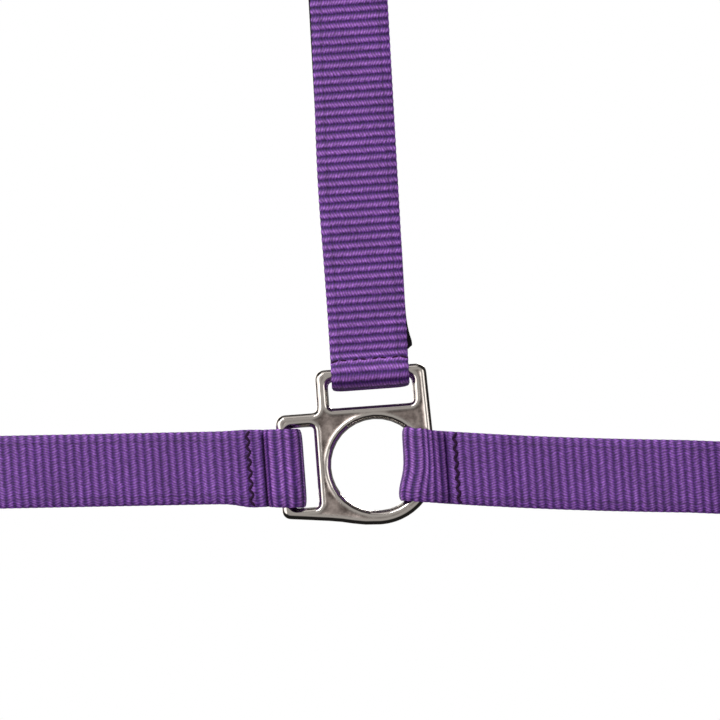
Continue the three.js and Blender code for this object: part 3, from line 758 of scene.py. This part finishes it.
def lining_place(y, z, across):
    """Its lower corner is stretched out towards the jaw, and its lower end is cut at a slant."""
    jaw_edge = -CHEEK_WIDTH / 2
    stretched = np.interp(across, (jaw_edge, 0), (CORNER_STRETCH, 0)) * bell(z, CORNER_HEIGHT, CORNER_REACH)
    slant = np.interp(across, (jaw_edge, -SLANT_FROM), (SLANT_CUT, 0)) * bell(z, LINING_LOW, SLANT_REACH)
    crooked = np.interp(z, CROOKED_HEIGHTS, (0, CROOKED))
    return turned(drift(z) + crooked - across + stretched, y, z + slant)


def painted_shade_tape(name):
    """Near-black tape, painted shade for a back ply in deep shadow: a fine, dull, flat weave. It is drawn
    coarser than real so that it shows.
    """
    material, tree, shader = new_material(name)
    flat_map = add_node(tree, "ShaderNodeUVMap")
    weave = add_node(tree, "ShaderNodeTexChecker", Scale=1 / (TAPE_WEAVE * MM), Vector=flat_map,
                     Color1=srgb("1b141f"), Color2=srgb("0f0b13"))
    tree.links.new(weave.outputs["Color"], shader.inputs["Base Color"])
    fuzz = add_node(tree, "ShaderNodeTexNoise", Scale=1 / (TAPE_FUZZ * MM), Detail=2.0, Vector=flat_map)
    bump = add_node(tree, "ShaderNodeBump", Strength=0.4, Distance=0.1 * MM, Height=fuzz)
    tree.links.new(bump.outputs[0], shader.inputs["Normal"])
    shader.inputs["Roughness"].default_value = 0.85
    shader.inputs["Specular IOR Level"].default_value = 0.25
    return material


lining_tape = painted_shade_tape("black_nylon_tape")
lining_route = (
    [(LINING_LAYER, LINING_LOW)]
    + cross_up((LINING_LAYER, LINING_START), (mid, LINING_START + LINING_STEP))
    + [(mid, HEEL_BAR - HEEL_TAIL - LINING_GAP)])
cheek_lining = lay_webbing("near_cheek_lining_tape", lining_route, CHEEK_WIDTH, lining_place, TAPE_RIB,
                           pitch=TAPE_PITCH, steps=TAPE_STEPS)
cheek_lining.data.materials.append(lining_tape)
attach(cheek_lining, "near_cheek")
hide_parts("near_cheek_lining")

# ---------------------------------------------------------------- buckle
# A cast frame held in the cheek strap's upper fold, and a bent tongue that turns on its heel bar.
# Both are nickel plated and tumbled, which leaves them an even, slightly soft bright.
tumbled_nickel = nickel_plate("tumbled_nickel_plate", "8d8682", "b3aca7", "cfc9c4", satin=0.2, buffed=0.14)
for node, name, body in (("buckle_frame", "near_buckle_frame", "near_cheek"),
                         ("buckle_tongue", "near_buckle_tongue", "tongue")):
    metal_piece = cast_copy(node, name, voxel=0.24, passes=7)
    metal_piece.data.materials.append(tumbled_nickel)
    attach(metal_piece, body)
    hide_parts(node)

# ---------------------------------------------------------------- keepers
# Two bands of narrow webbing round the cheek strap that hold the crown strap's end: the upper
# one is sewn in place, and the lower one slides.
KEEPER_HEIGHT = 11
KEEPER_THICK = 1.5
KEEPER_HALF = 14.3
KEEPER_FRONT = -5.7
KEEPER_BACK = 3.4
KEEPER_BEND = 2.0
KEEPER_RIB = 0.2
KEEPER_ROWS = 10
BUTT_GAP = 0.02
SEWN_KEEPER = HEEL_BAR - 27
SLIDING_KEEPER = HEEL_BAR - 48


def keeper_band(name, low):
    """A closed band of narrow webbing round the cheek strap, its ends butted together behind."""
    middle = low + KEEPER_HEIGHT / 2
    centre = drift(middle)
    left = centre - KEEPER_HALF + KEEPER_BEND
    right = centre + KEEPER_HALF - KEEPER_BEND
    front = KEEPER_FRONT + KEEPER_BEND
    back = KEEPER_BACK - KEEPER_BEND
    route = ([(centre, KEEPER_BACK), (right, KEEPER_BACK)]
             + arc(right, back, KEEPER_BEND, 90, 0)
             + arc(right, front, KEEPER_BEND, 0, -90)
             + arc(left, front, KEEPER_BEND, -90, -180)
             + arc(left, back, KEEPER_BEND, 180, 90)
             + [(centre - BUTT_GAP, KEEPER_BACK)])

    def keeper_place(x, y, across):
        return turned(x, y, middle + across)

    return lay_webbing(name, route, KEEPER_HEIGHT, keeper_place, KEEPER_RIB, across=KEEPER_ROWS,
                       thick=KEEPER_THICK)


for node, name, body, low in (("sewn_keeper", "sewn_keeper_band", "near_cheek", SEWN_KEEPER),
                              ("sliding_keeper", "sliding_keeper_band", "loose_keeper", SLIDING_KEEPER)):
    keeper = keeper_band(name, low)
    keeper.data.materials.append(loop_webbing)
    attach(keeper, body)
    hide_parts(node)

# ---------------------------------------------------------------- crown strap
# One long piece of the wider webbing, folded round the off fitting's top bar, up the off cheek
# and over the poll. Its near end is cut to a blunt point and punched for the buckle.
CROWN_CENTRE = 347
CROWN_STEPS = 60
CROWN_RIB = 0.3
BILLET_TIP = 279
BILLET_TAPER = 8
TIP_SHARE = 0.34
TIP_ROUND = 0.8
EYELETS = 5
EYELET_PITCH = 13
EYELET_FIRST = 14
HOLE_RADIUS = 3.1
HOLE_DEPTH = 8
crown_reach = HEAD_WIDTH / 2 + mid
crown_route = (
    lower_fold(HEAD_WIDTH, -1)
    + arc(HEAD_WIDTH / 2, CROWN_CENTRE, crown_reach, 0, 180, steps=CROWN_STEPS)
    + [(-mid, BILLET_TIP)])
crown_length = route_length(crown_route)
eyelet_heights = [BILLET_TIP + EYELET_FIRST + i * EYELET_PITCH for i in range(EYELETS)]


def blunt_point(run):
    """Draws the strap's width in over its last few millimetres."""
    to_tip = np.interp(crown_length - run, (0, BILLET_TAPER), (0, math.pi / 2))
    return TIP_SHARE + (1 - TIP_SHARE) * np.sin(to_tip) ** TIP_ROUND


def eyelet_holes(strap):
    """The holes that the eyelets line, punched through the flat strip."""
    for height in eyelet_heights:
        bpy.ops.object.select_all(action="DESELECT")
        bpy.ops.mesh.primitive_cylinder_add(vertices=28, radius=HOLE_RADIUS, depth=HOLE_DEPTH,
                                            location=(crown_length - (height - BILLET_TIP), 0, 0))
        punch(strap, bpy.context.object)


crown = lay_webbing("crown_webbing", crown_route, CHEEK_WIDTH, cheek_place, CROWN_RIB, cut=eyelet_holes,
                    taper=blunt_point)
crown.data.materials.append(loop_webbing)
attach(crown, "crown")
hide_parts("crown_strap")

# ---------------------------------------------------------------- crown lining
# The same near-black tape, painted shade, cut a little narrower and sewn inside the crown strap. It runs
# from the off cheek's tail over the poll and stops short of the eyelets.
CROWN_LINING_WIDTH = CHEEK_WIDTH - 2
CROWN_LINING_END = 174.6
lining_reach = HEAD_WIDTH / 2 - mid
crown_lining_route = (
    [(HEAD_WIDTH / 2 + lining_reach, LINING_START)]
    + arc(HEAD_WIDTH / 2, CROWN_CENTRE, lining_reach, 0, CROWN_LINING_END, steps=CROWN_STEPS))
crown_lining = lay_webbing("crown_lining_tape", crown_lining_route, CROWN_LINING_WIDTH, cheek_place,
                           TAPE_RIB, pitch=TAPE_PITCH, steps=TAPE_STEPS)
crown_lining.data.materials.append(lining_tape)
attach(crown_lining, "crown")
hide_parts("crown_lining")

# ---------------------------------------------------------------- eyelets
# Rolled nickel-plated eyelets that line the punched holes. Each is one tube, pressed through the
# strap and curled over at both faces, so it stands a little proud of them.
EYELET_RADIUS = 3.35
EYELET_ROLL = 1.3
EYELET_STAND = 1.12
for i, height in enumerate(eyelet_heights):
    bpy.ops.object.select_all(action="DESELECT")
    bpy.ops.mesh.primitive_torus_add(major_radius=EYELET_RADIUS * MM, minor_radius=EYELET_ROLL * MM,
                                     major_segments=40, minor_segments=14)
    eyelet = bpy.context.object
    eyelet.name = eyelet.data.name = f"billet_eyelet_{i + 1}"
    stand = Matrix.Translation(Vector(turned(drift(height), -mid, height)) * MM)
    stretch = Matrix.Scale(EYELET_STAND, 4, (0, 0, 1))
    eyelet.data.transform(stand @ Matrix.Rotation(math.radians(90), 4, "X") @ stretch)
    bpy.ops.object.shade_smooth()
    eyelet.data.materials.append(tumbled_nickel)
    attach(eyelet, "crown")
    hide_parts(f"eyelet_{i + 1}")

# ---------------------------------------------------------------- seams
# Bonded nylon thread, sewn across each loop in a tight zigzag so that the ends can't lift. Its
# stitches lie half sunk in the webbing.
STITCH_LENGTH = 2.7
STITCH_THICK = 0.95
STITCH_FLATNESS = 0.62
THREAD_TWIST = 0.556
ZIGZAG = math.radians(38)
CHEEK_SEAM = 35.2
HEEL_SEAM = HEEL_BAR - 12
MUZZLE_STITCHES = 14
MUZZLE_ROW_HALF = 10.8
HEAD_STITCHES = 8
HEAD_ROW_HALF = 11.6
MUZZLE_LIFT = 0.12
FOLD_LIFT = 0.1
HEEL_LIFT = 0.16


def bonded_thread(name):
    """Bonded nylon thread: dark, waxed and nearly dull, with a faint twist."""
    material, tree, shader = new_material(name)
    place = add_node(tree, "ShaderNodeTexCoord").outputs["Object"]
    twist = add_node(tree, "ShaderNodeTexNoise", Scale=1 / (THREAD_TWIST * MM), Vector=place)
    tone = add_node(tree, "ShaderNodeMix", {"data_type": "RGBA"}, Factor=twist,
                    in6=srgb("190722"), in7=srgb("2d1033"))
    tree.links.new(tone.outputs[2], shader.inputs["Base Color"])
    shader.inputs["Roughness"].default_value = 0.75
    shader.inputs["Specular IOR Level"].default_value = 0.15
    return material


thread = bonded_thread("bonded_nylon_thread")


def stitch_row(name, places, lay, zigzag):
    """A row of stitches, one drawn-in lozenge of thread at each place, leaning by turns."""
    made = []
    for i, place in enumerate(places):
        bpy.ops.object.select_all(action="DESELECT")
        bpy.ops.mesh.primitive_uv_sphere_add(segments=10, ring_count=8, radius=0.5)
        stitch = bpy.context.object
        size = Matrix.Diagonal((STITCH_THICK * MM, STITCH_FLATNESS * STITCH_THICK * MM,
                                STITCH_LENGTH * MM, 1))
        turn = Matrix.Rotation(lay + (zigzag if i % 2 else -zigzag) - TILT, 4, "Y")
        stitch.data.transform(Matrix.Translation(Vector(place) * MM) @ turn @ size)
        made.append(stitch)
    bpy.ops.object.select_all(action="DESELECT")
    for stitch in made:
        stitch.select_set(True)
    bpy.context.view_layer.objects.active = made[0]
    bpy.ops.object.join()
    row = bpy.context.object
    row.name = row.data.name = name
    bpy.ops.object.shade_smooth()
    row.data.materials.append(thread)
    return row


muzzle_proud = LAYER_PITCH + WEB_THICK / 2 + MUZZLE_LIFT
heel_proud = mid + WEB_THICK / 2 + HEEL_LIFT
fold_layers, fold_heights = zip(*cross_up((BAR_REACH, CHEEK_FOLD), (mid, CHEEK_CLOSE)))
fold_proud = np.interp(CHEEK_SEAM, fold_heights, fold_layers) + WEB_THICK / 2 + FOLD_LIFT
across_muzzle = np.linspace(-MUZZLE_ROW_HALF, MUZZLE_ROW_HALF, MUZZLE_STITCHES)
across_head = np.linspace(-HEAD_ROW_HALF, HEAD_ROW_HALF, HEAD_STITCHES)
for side, head_body in (("near", "near_cheek"), ("off", "crown")):
    muzzle_face = -muzzle_proud if side == "near" else HEAD_WIDTH + muzzle_proud
    fold_face = -fold_proud if side == "near" else HEAD_WIDTH + fold_proud
    nose_row = [nose_place(NOSE_SEAM, muzzle_face, w) for w in across_muzzle]
    chin_row = [chin_place(CHIN_SEAM, muzzle_face, w) for w in across_muzzle]
    cheek_row = [turned(drift(CHEEK_SEAM) + w, fold_face, CHEEK_SEAM) for w in across_head]
    for strap_name, places, lay, zigzag, body in (
            ("nose", nose_row, 0, ZIGZAG, "nose_strap"),
            ("chin", chin_row, 0, ZIGZAG, "chin_strap"),
            ("cheek", cheek_row, math.pi / 2, ZIGZAG / 2, head_body)):
        row = stitch_row(f"{strap_name}_stitches_{side}", places, lay, zigzag)
        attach(row, body)
        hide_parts(f"{strap_name}_seam_{side}")

heel_row = [turned(drift(HEEL_SEAM) + w, -heel_proud, HEEL_SEAM) for w in across_head]
row = stitch_row("buckle_stitches", heel_row, math.pi / 2, ZIGZAG / 2)
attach(row, "near_cheek")
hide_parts("buckle_seam")
